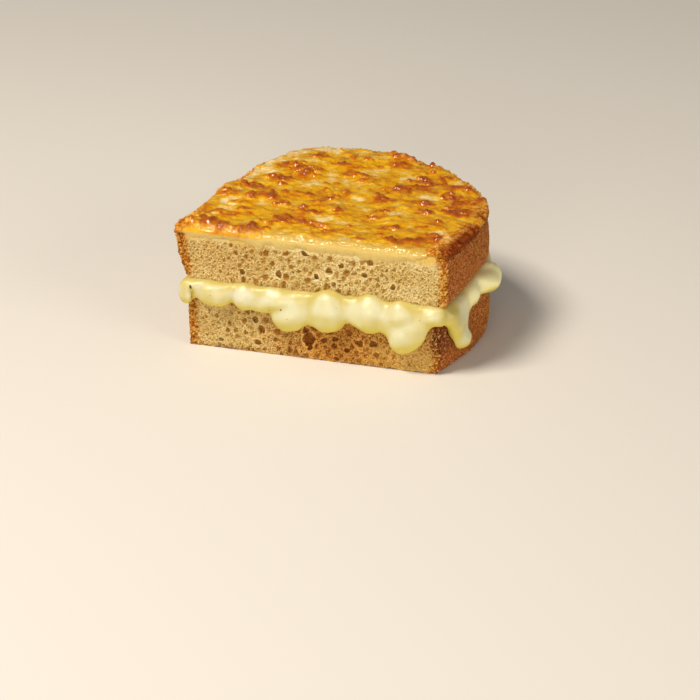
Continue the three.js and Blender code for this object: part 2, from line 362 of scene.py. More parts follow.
def distances(piece, tree):
    return np.array([tree.find_nearest(v.co)[3] / MM for v in piece.data.vertices])


# %% Roughen the crust, and press the bubbles into the crumb
def press_crust(piece, cut, crust):
    """Paints how far the grain stands out, and gives the smooth crust to measure from."""
    weigh(piece, "crust", crust.astype(float))
    outward = normals_of(piece)
    press(piece, "crust", CRUST_SWELL, 0.4)
    crust_skin = skin_tree(piece, crust)
    weigh(piece, "bark", cut * (1 - smoothstep(distances(piece, crust_skin), 3.0, 5.5)))
    swollen = points_of(piece)
    press(piece, "crust", CRUST_GRIT, 0.5)
    press(piece, "crust", CRUST_SAND, 0.6)
    press(piece, "bark", CRUST_GRIT, 1.3)
    press(piece, "bark", CRUST_SAND, 0.5)
    paint(piece, "relief", ((points_of(piece) - swollen) * outward).sum(axis=1))
    return crust_skin


def press_crumb(piece, fray_level, raised):
    """Paints how deep each point of the crumb lies. raised is how far the upper edge is lifted, in mm."""
    press(piece, "cut", CRUMB_DRAG, -0.5, 0.5, "Y")
    before = points_of(piece)
    shift(piece, "bubbles", DEEPEST, "Y")
    press(piece, "cut", TINY_CELLS, -0.3, 0.5, "Y")
    depth = (points_of(piece) - before)[:, 1]
    paint(piece, "cell_depth", depth)
    press(piece, "lower edge", CRUMB_FRAY, 2.4, fray_level, "Z")
    if raised:
        shift(piece, "upper edge", raised, "Z")
    print(piece.name, "- bubbles up to", depth.max().round(2), "mm deep")


# %% [markdown]
# ### Deep holes
#
# The largest holes are as deep as they are wide, and wider inside than at their mouth. Pushing points
# cannot make such a shape, so one mesh of joined balls is cut out with a Boolean modifier. Each ball is
# squashed, turned and made uneven first, as a plain one leaves a hole that looks drilled. Three of the
# bottom slice's holes run into each other, as where crumb was torn out.

# %% Where the deep holes are
# x, z, half width and half height in mm.
BOTTOM_HOLES = [
    (-33.3, 3.6, 1.1, 1.1), (-19.9, 13.4, 1.4, 1.4), (-17.7, 9.4, 1.6, 2.0), (-19.2, 4.2, 1.6, 1.2),
    (0.6, 8.0, 2.2, 3.0), (-0.4, 11.4, 1.3, 1.8), (1.3, 4.9, 1.2, 1.5), (6.6, 8.4, 1.3, 1.3),
    (10.8, 9.4, 1.2, 1.2), (15.2, 5.4, 1.3, 1.3), (20.0, 8.8, 1.6, 1.6), (25.2, 9.2, 1.5, 1.5),
    (26.6, 4.8, 1.3, 1.3),
]
TOP_HOLES = [
    (-24.5, 31.8, 1.3, 1.2), (-10.8, 32.6, 1.2, 1.6), (-0.6, 42.0, 1.5, 1.4), (3.9, 33.5, 1.3, 1.2),
    (8.5, 36.1, 1.4, 1.8), (13.0, 39.0, 1.2, 1.4), (10.4, 31.0, 1.1, 1.3), (21.8, 36.3, 1.4, 1.2),
    (24.0, 41.4, 1.5, 1.6), (32.6, 33.0, 1.1, 1.4),
]
MORE_PITS = 8  # smaller ones for each slice, which may lie anywhere
PIT_SPACING = 1.3  # times the sum of two half widths


def pit_list(holes, face, seed):
    """The named holes, and smaller pits between them that touch nothing: x, z, half width, half height."""
    draw = random.Random(seed)
    (x0, x1), (z0, z1) = face
    pits = list(holes)
    for _ in range(MORE_PITS * 30):
        wide = 0.4 + 0.55 * draw.random() ** 2
        pit = (draw.uniform(x0, x1), draw.uniform(z0, z1), wide, wide * draw.uniform(0.85, 1.5))
        room = [PIT_SPACING * (max(pit[2:]) + max(other[2:])) for other in pits]
        if all(math.hypot(pit[0] - p[0], pit[1] - p[1]) > far for p, far in zip(pits, room)):
            pits.append(pit)
        if len(pits) == MORE_PITS + len(holes):
            break
    return pits


# %% Cut the holes out
UNEVEN = grain("uneven walls of a hole", "CLOUDS", 1.5, noise_depth=1)


def carve(piece, pits, seed):
    draw = random.Random(seed)
    balls = []
    for x, z, half_width, half_height in pits:
        deep = max(half_width, half_height)
        place = (x * MM, (CUT_Y + 0.25 * deep + 0.3) * MM, z * MM)
        bpy.ops.mesh.primitive_ico_sphere_add(subdivisions=3 if deep > 1 else 2, radius=MM, location=place)
        ball = bpy.context.active_object
        ball.scale = (half_width, deep * 0.95, half_height)
        ball.rotation_euler = (draw.uniform(-0.4, 0.4), draw.uniform(-0.5, 0.5), 0)
        bpy.context.view_layer.update()
        press(ball, "", UNEVEN, 1.2, texture_coords="GLOBAL")
        balls.append(ball)
    cutter = joined(balls, balls[-1])
    apply_modifier(piece, "BOOLEAN", operation="DIFFERENCE", solver="MANIFOLD", object=cutter)
    bpy.data.objects.remove(cutter)


# %% A slice from start to end
def bread(node_name, name, holes, face, open_middle, filled_above, fray_level, raised, seed):
    """face is where the cut face shows crumb, x from and to and z from and to. open_middle is the x of its
    widest bubbles and how far they reach to each side. All lengths are in mm."""
    piece = one_skin(node_name, name)
    remesh(piece, SLICE_MESH)
    divide_slice(piece)
    cut, crust = facing(piece)
    weigh_crumb(piece, cut, face, open_middle, filled_above, holes, seed)
    weigh_edges(piece)
    crust_skin = press_crust(piece, cut, crust)
    press_crumb(piece, fray_level, raised)
    pits = pit_list(holes, face, seed)
    carve(piece, pits, seed + 1)
    paint(piece, "rind", distances(piece, crust_skin))
    only(piece)
    bpy.ops.object.shade_smooth_by_angle(angle=math.radians(50))
    print(name, "-", len(pits), "deep holes,", triangles(piece), "triangles")
    return piece


BREAD_SEED = 11
# The bottom slice frays mostly upwards, as it stands on the floor, and no cheese fills its crumb.
bottom_bread = bread(
    "bottom_slice", "bottom_bread", BOTTOM_HOLES, face=((-43, 45), (1.6, 19)), open_middle=(2, 46),
    filled_above=60, fray_level=0.38, raised=0, seed=BREAD_SEED,
)
# The top slice frays mostly down into the sauce, and its upper edge is lifted into the baked cheese.
top_bread = bread(
    "top_slice", "top_bread", TOP_HOLES, face=((-44, 45), (28.8, 42.3)), open_middle=(2, 42),
    filled_above=44.6, fray_level=0.8, raised=1.0, seed=BREAD_SEED + 7,
)

# %% [markdown]
# ## Colours and materials
#
# A colour is picked as an sRGB hex value, as on a screen, but light is added up in linear numbers, so one
# function turns one into the other. A second one adds any node, with its settings and links, and gives back
# the output that the next node reads.
#
# Food has no plain colour anywhere. Its finishes are built in two ways: a colour is laid over another where
# a pattern is strong, and a sum of patterns says how far something has gone, such as browning, before a
# ramp turns that into a colour.

# %% Colour and node helpers
def linear(hex_colour):
    channels = [int(hex_colour[i : i + 2], 16) / 255 for i in (1, 3, 5)]
    return [c / 12.92 if c <= 0.04045 else ((c + 0.055) / 1.055) ** 2.4 for c in channels] + [1.0]


def new_material(name):
    material = bpy.data.materials.new(name)
    material.use_nodes = True
    material.node_tree.nodes.clear()
    return material


def node(material, kind, inputs=None, output=0, stops=None, **settings):
    """Adds a node and gives back its output. inputs maps a socket's name or number to a value, a hex
    colour, the output of another node, or the name of a number painted on the points. stops maps places
    from 0 to 1 on a colour ramp to hex colours."""
    tree = material.node_tree
    made = tree.nodes.new("ShaderNode" + kind)
    for key, value in settings.items():
        setattr(made, key, value)
    for key, value in (inputs or {}).items():
        if isinstance(value, str) and not value.startswith("#"):
            value = node(material, "Attribute", output="Fac", attribute_name=value)
        if isinstance(value, bpy.types.NodeSocket):
            tree.links.new(value, made.inputs[key])
        else:
            made.inputs[key].default_value = linear(value) if isinstance(value, str) else value
    if stops:
        elements = made.color_ramp.elements
        elements.remove(elements[1])
        for i, (position, colour) in enumerate(stops.items()):
            stop = elements.new(position) if i else elements[0]
            stop.position, stop.color = position, linear(colour)
    return made.outputs[output] if made.outputs else None


# %% Layers and sums of patterns
def object_mm(material, stretch=(1, 1, 1)):
    """The place on the object in millimetres. A pattern gets longer along an axis by what stretch says."""
    place = node(material, "TexCoord", output="Object")
    return node(material, "Mapping", {"Vector": place, "Scale": [1 / (MM * s) for s in stretch]})


def soft_sum(material, start, *parts):
    """Adds to start what each part gives: 0 where its pattern is at low, rising softly to most at high."""
    total = start
    for pattern, low, high, most in parts:
        rise = {"Value": pattern, "From Min": low, "From Max": high, "To Max": most}
        given = node(material, "MapRange", rise, interpolation_type="SMOOTHSTEP")
        total = node(material, "Math", {0: total, 1: given}, operation="ADD")
    return total


def laid_over(material, base, colour, pattern, low=None, high=None, most=1):
    """Lays a colour over a base. The pattern is its share, or where low and high are given, the share rises
    softly from 0 where the pattern is at low to most where it is at high."""
    share = pattern if high is None else soft_sum(material, 0, (pattern, low, high, most))
    # A Mix node has its two colours in sockets 6 and 7, and gives the mixed one as output 2.
    return node(material, "Mix", {0: share, 6: base, 7: colour}, output=2, data_type="RGBA")


def behind_cut(material, place):
    """How far behind the plane of the cut a place is, in mm."""
    y_mm = node(material, "SeparateXYZ", {0: place}, output="Y")
    return node(material, "Math", {0: y_mm, 1: CUT_Y}, operation="SUBTRACT")


def sandy(material, grit, raised):
    """Fine grit, brighter where the relief stands out."""
    stands = node(material, "Math", {0: "relief", 1: raised}, operation="MULTIPLY")
    return node(material, "Math", {0: grit, 1: 0.8, 2: stands}, operation="MULTIPLY_ADD")


# %% Give a piece its finish and its place
def finish(material, inputs):
    """Light inside a material goes as far as its Subsurface Radius says, in mm."""
    shader = node(material, "BsdfPrincipled", inputs | {"Subsurface Scale": MM})
    node(material, "OutputMaterial", {"Surface": shader})


def dress(piece, material, node_name):
    piece.data.materials.clear()
    piece.data.materials.append(material)
    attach(piece, "root")
    if node_name:
        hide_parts(node_name)
    print(piece.name, "is dressed in", material.name)


# %% [markdown]
# ### The finish of the bread
#
# Crumb is matt and a little see-through, so light softens in it. Its walls are pale, and the bottom of a hole
# is painted darker and more golden, as painted shade and painted bounced light: the light that gets down
# there has met bread several times. Crumb that fried in the pan is brown. Under the sauce and along the top
# slice's edge beside it, the brown is partly fried crumb and partly painted shade, and where cheese soaked in
# it is yellow.
#
# The crust is brown and sandy: flour and blistered skin stand out pale on a dark ground. Towards the crumb it
# turns orange, along a border that wanders. The corner under the sauce is painted dark, partly as scorch and
# partly as painted shade that the sauce throws on it. Two materials would meet at a hard line, so one holds
# crumb and crust, and the distance from the crust, painted on the points as "rind", decides which shows.

# %% Where the bread is toasted, soaked and scorched, with painted shade under and beside the sauce
x, y, z = points_of(bottom_bread).T
paler_corner = smoothstep(x, 24, 44) * (1 - 0.6 * smoothstep(z, 6, 11))
# Painted shade: the brown of the middle, where the sauce hangs over it, is partly fried crumb and partly the
# shade under the sauce.
fried_and_shaded = 0.12 + 0.76 * smoothstep(x, -24, 2) * (1 - 0.45 * paler_corner)
near_pan = 1 - smoothstep(z, 0.3, 2.2)
paint(bottom_bread, "toast_and_shade", np.maximum(fried_and_shaded, 0.7 * near_pan))
paint(bottom_bread, "soaked", 0.3 * smoothstep(x, 16, 30) * (1 - smoothstep(z, 7, 12)))
# Painted shade: the corner under the sauce is darkened partly as scorch and partly as the sauce's shade.
scorched_and_shaded_corner = smoothstep(x, 44.5, 48) * (1 - smoothstep(y, -40, -22)) * smoothstep(z, 3, 13)
paint(bottom_bread, "scorch_and_shade", 0.75 * scorched_and_shaded_corner)

points = points_of(top_bread)
x, y, z = points.T
# Painted shade: the top slice's lower edge beside the sauce is browned to stand for the shade in the gap
# there.
shade_near_sauce = 1 - smoothstep(z, 27.2, 29)
round_end = 1 - smoothstep(x, -30, 0)
paint(top_bread, "toast_and_shade", np.maximum(0.3 * shade_near_sauce, 0.2 * round_end))
paint(top_bread, "soaked", smoothstep(z + 1.5 * wobble(points, 6, 21), 42.8, 45.3))
print("bottom_bread - toasted by", fried_and_shaded.mean().round(2), "on average")

# %% Crumb: pale walls of gluten, matt, with painted golden shade in the depths
CRUMB_WEAVE = 0.5  # mm, the threads in a wall, drawn coarser than they are so that they show
# The deeper a place lies in a bubble or a hole, the darker and more golden these ramps paint it: painted
# shade and painted bounced light.
CRUMB_SHADED_BY_DEPTH = {0.12: "#F6ECC2", 0.24: "#E0C888", 0.4: "#CEB06A", 0.6: "#BC964C", 0.9: "#BC883C"}
# The toasted ramp also carries the painted shade under and beside the sauce.
CRUMB_TOASTED_AND_SHADED = {0.12: "#F0C268", 0.24: "#D0943A", 0.4: "#AE6E20", 0.6: "#985410", 0.9: "#8C4810"}
SOAKED_CRUMB = "#E2BE62"
HOLE_IN_GOLDEN_SHADE, HOLE_TOASTED_AND_SHADED = "#D69A48", "#AE6A28"


def crumb_colour(material, place, weave):
    broad = node(material, "TexNoise", {"Vector": place, "Scale": 1 / 8})
    behind = behind_cut(material, place)
    sunk = soft_sum(
        material,
        0.1,
        ("cell_depth", -0.1, 1.1, 0.5),
        (behind, 0.4, 1.6, 0.4),
        (weave, 0.7, 0.35, 0.18),
        (broad, 0.3, 0.7, 0.1),
    )
    plain = node(material, "ValToRGB", {0: sunk}, stops=CRUMB_SHADED_BY_DEPTH)
    # Toasted crumb, partly as painted shade under and beside the sauce.
    toasted = node(material, "ValToRGB", {0: sunk}, stops=CRUMB_TOASTED_AND_SHADED)
    crumb = laid_over(material, plain, toasted, "toast_and_shade")
    crumb = laid_over(material, crumb, SOAKED_CRUMB, "soaked")
    # Painted shade: deep inside a hole the crumb takes these darker golden colours.
    hole = laid_over(material, HOLE_IN_GOLDEN_SHADE, HOLE_TOASTED_AND_SHADED, "toast_and_shade")
    return laid_over(material, crumb, hole, behind, 1.3, 3.2)


# %% Crust: a baked brown skin, rough with pale flour
CRUST_GRAIN = 0.48  # mm, flour and blistered skin, drawn coarser than flour is so that it shows
WANDERS = 1.4  # mm, about how far two patterns move the border of the crust
SKIN = {0.2: "#88380A", 0.33: "#B85C1C", 0.43: "#D47C34", 0.52: "#E6984E", 0.64: "#F2BA7C"}
EDGE = {0.25: "#BC660A", 0.42: "#E09426", 0.6: "#F6CA68"}
# Scorched crust, darker still as painted shade under the sauce.
SCORCHED_AND_SHADED = {0.3: "#4C1A04", 0.42: "#86400E", 0.52: "#AE662C", 0.62: "#ECC08C"}
DARK_PATCH = "#964A14"


def crust_colour(material, place, grit, patch, under_crust):
    grains = sandy(material, grit, 0.75)
    skin = node(material, "ValToRGB", {0: grains}, stops=SKIN)
    edge = node(material, "ValToRGB", {0: grains}, stops=EDGE)
    # Scorched crust with the painted shade under the sauce.
    scorched = node(material, "ValToRGB", {0: grains}, stops=SCORCHED_AND_SHADED)
    x_mm = node(material, "SeparateXYZ", {0: place}, output="X")
    skin = laid_over(material, skin, DARK_PATCH, patch, 0.4, 0.75, 0.5)
    skin = laid_over(material, skin, edge, x_mm, -38, -46, 0.4)
    skin = laid_over(material, skin, edge, under_crust, WANDERS + 0.5, WANDERS + 1.6)
    # Painted shade, together with the scorch, on the corner under the sauce.
    return laid_over(material, skin, scorched, "scorch_and_shade")


# %% Toasted sourdough, crumb and crust in one
THREADY = {"Detail": 3, "Roughness": 0.6}  # how strong the finer blots of a noise pattern are
GRITTY = {"Detail": 3, "Roughness": 0.7}
CRUST_THICKNESS = 2.4  # mm


def toasted_sourdough():
    material = new_material("toasted sourdough")
    place = object_mm(material)
    weave = node(material, "TexNoise", {"Vector": place, "Scale": 1 / CRUMB_WEAVE} | THREADY)
    grit = node(material, "TexNoise", {"Vector": place, "Scale": 1 / CRUST_GRAIN} | GRITTY)
    patch = node(material, "TexNoise", {"Vector": place, "Scale": 1 / 6, "Detail": 3})
    torn = node(material, "TexNoise", {"Vector": place, "Scale": 1 / 1.6})
    under_crust = soft_sum(material, "rind", (patch, 0.2, 0.8, 1.6), (torn, 0.2, 0.8, 1.8))
    border = WANDERS + CRUST_THICKNESS
    inside = soft_sum(material, 0, (under_crust, border - 0.2, border + 2.6, 1))
    crust = crust_colour(material, place, grit, patch, under_crust)
    crumb = crumb_colour(material, place, weave)
    threads = node(material, "Math", {0: weave, 1: 0.4}, operation="MULTIPLY")
    height = node(material, "Mix", {0: inside, 2: grit, 3: threads}, data_type="FLOAT")
    finish(material, {
        "Base Color": laid_over(material, crust, crumb, inside),
        "Roughness": 0.8,
        "Specular IOR Level": 0.25,
        "Subsurface Weight": 0.12,
        "Subsurface Radius": (1.6, 0.9, 0.4),
        "Normal": node(material, "Bump", {"Height": height, "Distance": 1.2 * MM}),
    })
    return material


sourdough = toasted_sourdough()
dress(bottom_bread, sourdough, "bottom_slice")
dress(top_bread, sourdough, "top_slice")

# %% [markdown]
# ## Cheese sauce
#
# Thick cheese sauce creeps out under the weight of the top slice, folds over the edge and hangs in fat
# drops. Its own skin pulls it round everywhere, so there is no sharp line in it. A fluid simulation would
# take minutes and land somewhere else. Balls that are pushed into the frame's solid and melted together by
# a voxel remesh give the same shape where it is wanted: each ball keeps its swell, and the smoothing
# afterwards fills the creases between them as a liquid would.

# %% The swells and drops of the sauce
# x, y, z of the middle, and the half width, depth and height, all in mm.
FRONT_SWELLS = [
    (-46.4, -45.0, 20.4, 3.0, 3.4, 4.1),
    (-36.1, -45.3, 22.3, 6.6, 5.0, 4.9),
    (-23.9, -45.3, 22.2, 4.4, 4.2, 5.6),
    (-7.9, -45.3, 16.7, 5.6, 4.4, 6.6),
    (-11.0, -45.2, 22.6, 9.0, 4.4, 4.8),
    (8.5, -45.2, 20.6, 7.8, 5.6, 8.6),
    (24.4, -45.2, 21.4, 6.6, 5.4, 7.6),
    (36.0, -45.2, 22.6, 7.5, 4.8, 5.4),
    (36.4, -45.5, 14.2, 5.2, 5.0, 7.0),
    (46.8, -45.2, 23.0, 5.0, 3.8, 3.4),
]
SIDE_SWELLS = [
    (55.6, -33.0, 10.7, 4.0, 4.0, 3.9),
    (54.4, -36.6, 17.0, 3.3, 4.6, 5.4),
    (52.8, -39.6, 21.8, 3.4, 5.4, 4.0),
    (56.6, -21.6, 22.8, 2.8, 3.0, 2.7),
    (57.2, -13.0, 24.2, 3.4, 5.0, 3.4),
    (58.2, -5.0, 24.8, 5.2, 4.6, 4.8),
]


def swollen_balls(swells):
    balls = []
    for x, y, z, width, depth, height in swells:
        place = (x * MM, y * MM, z * MM)
        bpy.ops.mesh.primitive_uv_sphere_add(segments=28, ring_count=18, radius=MM, location=place)
        ball = bpy.context.active_object
        ball.scale = (width, depth, height)
        balls.append(ball)
    return balls


# %% Melt them together
SAUCE_MESH = 0.65  # mm
SAUCE_FOLDS = grain("slow folds of the sauce", "CLOUDS", 5.0, noise_depth=0)

cheese_sauce = one_skin("cheese_filling", "cheese_sauce")
joined(swollen_balls(FRONT_SWELLS + SIDE_SWELLS), cheese_sauce)
remesh(cheese_sauce, SAUCE_MESH)
apply_modifier(cheese_sauce, "SMOOTH", factor=0.6, iterations=8)
press(cheese_sauce, "", SAUCE_FOLDS, 0.8)
apply_modifier(cheese_sauce, "SMOOTH", factor=0.5, iterations=6)
print("cheese_sauce -", len(FRONT_SWELLS + SIDE_SWELLS), "swells melted in")

# %% A fold beside the first drop, and an upper edge that creeps into the crumb
FOLD_X = -43.0  # at FOLD_Z, and further along +X below that
FOLD_Z = 21
FOLD_LEAN = 0.2
FOLD_WIDTH = 1.5  # mm
x, y, z = points_of(cheese_sauce).T
off_fold = x - FOLD_X + FOLD_LEAN * (z - FOLD_Z)
fold = np.exp(-((off_fold / FOLD_WIDTH) ** 2))
fold *= smoothstep(CUT_Y - y, -0.5, 1.5) * (1 - smoothstep(z, 22.5, 25.5))
weigh(cheese_sauce, "folded in", fold)
shift(cheese_sauce, "folded in", -2.4, "NORMAL")
apply_modifier(cheese_sauce, "SMOOTH", factor=0.5, iterations=5)

x, y, z = points_of(cheese_sauce).T
upward = normals_of(cheese_sauce)[:, 2]
at_cut = 1 - smoothstep(np.abs(y - CUT_Y), 1.2, 3.0)
weigh(cheese_sauce, "creeping up", at_cut * smoothstep(upward, 0.1, 0.6) * smoothstep(z, 21, 24))
press(cheese_sauce, "creeping up", CRUMB_FRAY, 0.6, 0.1, "Z")
only(cheese_sauce)
bpy.ops.object.shade_smooth()
print("cheese_sauce -", triangles(cheese_sauce), "triangles")

# %% [markdown]
# ### The finish of the sauce
#
# Fat and milk scatter light inside, so the sauce glows softly, and its wet skin mirrors the lamps as broad
# pale patches. Subsurface scattering of a few millimetres gives the first, and a moderate roughness the
# second. Light and shade are painted as well: where it swells out it is painted paler, as painted light, and
# in its creases, its fold and on its underside a deeper yellow, as painted shade, and the lobe at the
# straight crust is painted pale as if lit. So the shape is read from the mesh and painted on it.

# %% Where the sauce swells out, hangs over and folds in, for its painted light and shade, and the lobe painted as if lit
x, y, z = points_of(cheese_sauce).T
full_swell = np.interp(x, (-45, -10), (3.4, 5.0))  # mm in front of the cut
front_swell = smoothstep((CUT_Y - y) / full_swell, 0, 1)
# Painted light: the sauce is painted paler where it swells out, and on the lobes at the straight crust.
paint(cheese_sauce, "swell", np.maximum(front_swell, 0.5 * smoothstep(x, 50, 57)))
# Painted shade on the underside.
paint(cheese_sauce, "underside_shade", 1 - smoothstep(normals_of(cheese_sauce)[:, 2], -0.6, 0.25))
# Painted shade in the fold.
paint(cheese_sauce, "fold", fold)
# Painted light: the lobe at the straight crust, in the top slice's shade, is painted pale as if lit.
paint(cheese_sauce, "side_lobe_light", smoothstep(x, 51, 57) * smoothstep(y, -36, -26))
print("cheese_sauce stands out", round(float((CUT_Y - y).max()), 2), "mm in front of the cut")

# %% Warm cheese sauce: milky and wet, with painted light on its swells and painted shade in its creases
MILKY, MILKIER = "#DAD9B4", "#DBDCC6"
# Painted shade: the deeper yellow of creases, vertical bands and the -X end.
CREASE_SHADE_YELLOW = "#CABC6C"
# Painted shade in the fold.
FOLD_SHADE = "#C49E34"
# Painted light on the lobe at the straight crust.
SIDE_LOBE_PAINTED_LIGHT = "#FFF6BE"
# Painted shade on the underside.
UNDERSIDE_SHADE = "#D4C44E"


def warm_cheese_sauce():
    material = new_material("warm cheese sauce")
    place = object_mm(material)
    x_mm = node(material, "SeparateXYZ", {0: place}, output="X")
    flattened = object_mm(material, (1, 1, 2))
    # Painted shade: vertical bands of deeper yellow stand for the ridges and valleys of the sauce.
    vertical_band_shade = node(material, "TexNoise", {"Vector": flattened, "Scale": 1 / 8, "Detail": 1})
    # Painted shade where the sauce does not swell out, in its bands, and towards the -X end.
    crease = soft_sum(material, 0, (vertical_band_shade, 0.3, 0.7, 0.45), ("swell", 1.0, 0.0, 0.5), (x_mm, 5, -45, 0.1))
    tone = laid_over(material, MILKY, MILKIER, x_mm, -5, -35)
    tone = laid_over(material, tone, CREASE_SHADE_YELLOW, crease, 0.1, 0.75)
    # Painted shade in the fold.
    tone = laid_over(material, tone, FOLD_SHADE, "fold", 0.3, 1.0, 0.8)
    # Painted light on the lobe at the straight crust.
    tone = laid_over(material, tone, SIDE_LOBE_PAINTED_LIGHT, "side_lobe_light")
    ripple = node(material, "TexNoise", {"Vector": place, "Scale": 1 / 3})
    finish(material, {
        # Painted shade on the underside.
        "Base Color": laid_over(material, tone, UNDERSIDE_SHADE, "underside_shade"),
        "Roughness": 0.4,
        "Specular IOR Level": 0.8,
        "IOR": 1.45,
        "Subsurface Weight": 0.55,
        "Subsurface Radius": (3.2, 2.6, 0.7),
        "Normal": node(material, "Bump", {"Height": ripple, "Distance": 0.25 * MM, "Strength": 0.5}),
    })
    return material


dress(cheese_sauce, warm_cheese_sauce(), "cheese_filling")

# %% [markdown]
# ## Ground pepper
#
# A few flakes of black pepper are stirred into the sauce. Each is an angular chip, mostly under half a
# millimetre across. A small ball with few faces, squashed flat, is angular enough at that size. It sits
# where a straight line into the cut face meets the sauce, however far the sauce swells.

# %% Pepper flakes
# x, z, and the half width and half height of each flake in mm.
FLAKES = [
    (-43.9, 24.8, 0.55, 0.9), (-35.6, 23.2, 0.14, 0.14), (-13.2, 19.6, 0.22, 0.22),
    (-8.6, 20.6, 0.42, 0.34), (-6.1, 17.4, 0.18, 0.18), (-33.0, 19.4, 0.14, 0.16),
    (12.6, 24.0, 0.15, 0.15), (33.8, 21.6, 0.16, 0.14), (43.6, 22.6, 0.2, 0.16),
]
FLAKE_HALF_DEPTH = 0.12  # mm

sauce_skin = skin_tree(cheese_sauce, np.ones(len(cheese_sauce.data.vertices), bool))
flakes = []
draw = random.Random(3)
for x, z, half_width, half_height in FLAKES:
    spot = sauce_skin.ray_cast(Vector((x, CUT_Y - 20, z)) * MM, Vector((0, 1, 0)))[0]
    bpy.ops.mesh.primitive_ico_sphere_add(subdivisions=1, radius=MM, location=spot)
    flake = bpy.context.active_object
    flake.scale = (half_width, FLAKE_HALF_DEPTH, half_height)
    flake.rotation_euler = (0, draw.uniform(-0.5, 0.5), 0)
    flakes.append(flake)
pepper = joined(flakes, flakes[-1])
bpy.ops.object.transform_apply(location=True, rotation=True, scale=True)
pepper.name = pepper.data.name = "pepper_flakes"
print("pepper_flakes -", len(flakes), "flakes")

# %% Cracked black pepper: a dull dark husk with paler breaks
cracked_pepper = new_material("cracked black pepper")
speck = node(cracked_pepper, "TexNoise", {"Vector": object_mm(cracked_pepper), "Scale": 1 / 0.2})
finish(cracked_pepper, {
    "Base Color": laid_over(cracked_pepper, "#2A2114", "#6A5A30", speck, 0.4, 0.65),
    "Roughness": 0.6,
    "Normal": node(cracked_pepper, "Bump", {"Height": speck, "Distance": 0.1 * MM}),
})
dress(pepper, cracked_pepper, None)

# %% [markdown]
# ## Baked cheese
#
# Grated cheese melts into one sheet, and while it browns, steam lifts it in small blisters that scorch
# first because they stand nearest to the heat. Between them the sheet is drawn into smooth golden streaks.
# Towards the crust it thins out into a crisp, crumbly rim, and along the cut it is still pale, and has
# melted down over the crumb in a thin film.
#
# Where the blisters and the pale places lie gives this sheet its face, so they are placed here one by one.
# Their small shapes are made by cell patterns turned upside down, which give a dome for each cell and a
# crease between two. The colour then follows the shape, as it does in the oven.

# %% Where the cheese has blistered, and where the heat spared it
# x, y and radius of each patch in mm.
BLISTERS = [
    (-42, -2, 7), (-42, -12, 5), (-37, -4, 4), (-33, -2, 5), (-31, -13, 4), (-24, -11, 5), (-19, 17, 8),
    (-28, 9, 6), (-26, 23, 5), (-18, 32, 5), (-2, 1, 6), (-4, -7, 4), (-4, -21, 5), (-11, -19, 4),
    (-43, -35, 5), (-39, -30, 4), (-48, -42, 6), (-41, -40, 6), (-33, -42, 4), (-26, -43, 3),
    (-21, -41, 6), (-18, -35, 5), (2, -34, 5), (-31, -25, 3), (-12, -31, 6), (-9, 27, 4), (-2, 35, 5),
    (-2, 19, 4), (14, 32, 5), (10, 40, 4), (15, 41, 5), (27, 37, 5), (26, 21, 4), (22, 19, 3),
    (35, 25, 5), (32, 19, 4), (27, 14, 4), (20, 7, 7), (16, -2, 4), (40, 7, 5), (47, 3, 5), (45, 16, 5),
    (46, -6, 7), (33, -2, 4), (35, -10, 5), (17, -18, 5), (26, -28, 5), (32, -38, 6), (40, -36, 5),
    (48, -33, 6), (53, 8, 5),
]
SPARED = [
    (-38.6, -18, 6), (-40, -33, 4), (-38, 15, 8), (-33, 28, 7), (-26, 37, 6), (-39, 3, 3), (-14, 7, 6),
    (-3, 1, 5), (-12, 43, 6), (-2, 37, 5), (5, 38, 4), (-10, 17, 5), (33, 6, 5), (6.6, -3.6, 4),
    (-31, 16, 3), (38, 23, 4), (20, 22, 5), (46, -28, 5), (51, -12, 4), (24, -14, 4), (0, -26, 4),
]
draw = random.Random(8)
small = [(draw.uniform(-48, 55), draw.uniform(-42, 44), draw.uniform(1.4, 2.6)) for _ in range(70)]
print("baked_cheese -", len(BLISTERS), "patches of blisters and", len(small), "small ones")

# %% The sheet, finest on its upper side and along the cut
TOPPING_MESH = 0.8  # mm

baked_cheese = one_skin("cheese_topping", "baked_cheese")
remesh(baked_cheese, TOPPING_MESH)
at_cut = points_of(baked_cheese)[:, 1] < CUT_Y + 1.0
divide(baked_cheese, at_cut | (normals_of(baked_cheese)[:, 2] > 0.1))
divide(baked_cheese, points_of(baked_cheese)[:, 1] < CUT_Y + 0.9)
points, normals = points_of(baked_cheese), normals_of(baked_cheese)
x, y, z = points.T
upward = smoothstep(normals[:, 2], 0.2, 0.7)
print("baked_cheese -", triangles(baked_cheese), "triangles")

# %% The crisp rim, widest at the corner where the cut meets the straight crust
STRAIGHT_CRUST_CORNER = (53, -45)  # x and y in mm
ROUND_CRUST_CORNER = (-50, -45)

sides = (np.abs(normals[:, 2]) < 0.6) & (y > CUT_Y + 1.5)
rim = distances(baked_cheese, skin_tree(baked_cheese, sides))
to_straight, to_round = [np.hypot(x - at[0], y - at[1]) for at in (STRAIGHT_CRUST_CORNER, ROUND_CRUST_CORNER)]
near_straight = 1 - to_straight.clip(0, 60) / 60
near_round = 1 - smoothstep(to_round, 3, 10)
uneven = 3.0 * wobble(points, 5, 5) + 2.4 * wobble(points, 1.8, 8)
crusty_width = 1.0 + 7.0 * near_straight + 2.0 * near_round + uneven
crusty = 1 - smoothstep(rim, crusty_width, crusty_width + 3.0)
print("baked_cheese - the crisp rim covers", round(100 * crusty.mean()), "% of the points")


# %% Blistered and spared patches, with uneven borders
def spots(places, long, wide):
    """How far each point is inside the nearest spot, from 0 to 1. long and wide stretch it by X and Y."""
    inside = np.zeros(len(points))
    for spot_x, spot_y, radius in places:
        away = np.hypot((x - spot_x) / long, (y - spot_y) / wide) / radius
        inside = np.maximum(inside, 1 - smoothstep(away, 0.1, 1.25))
    return inside


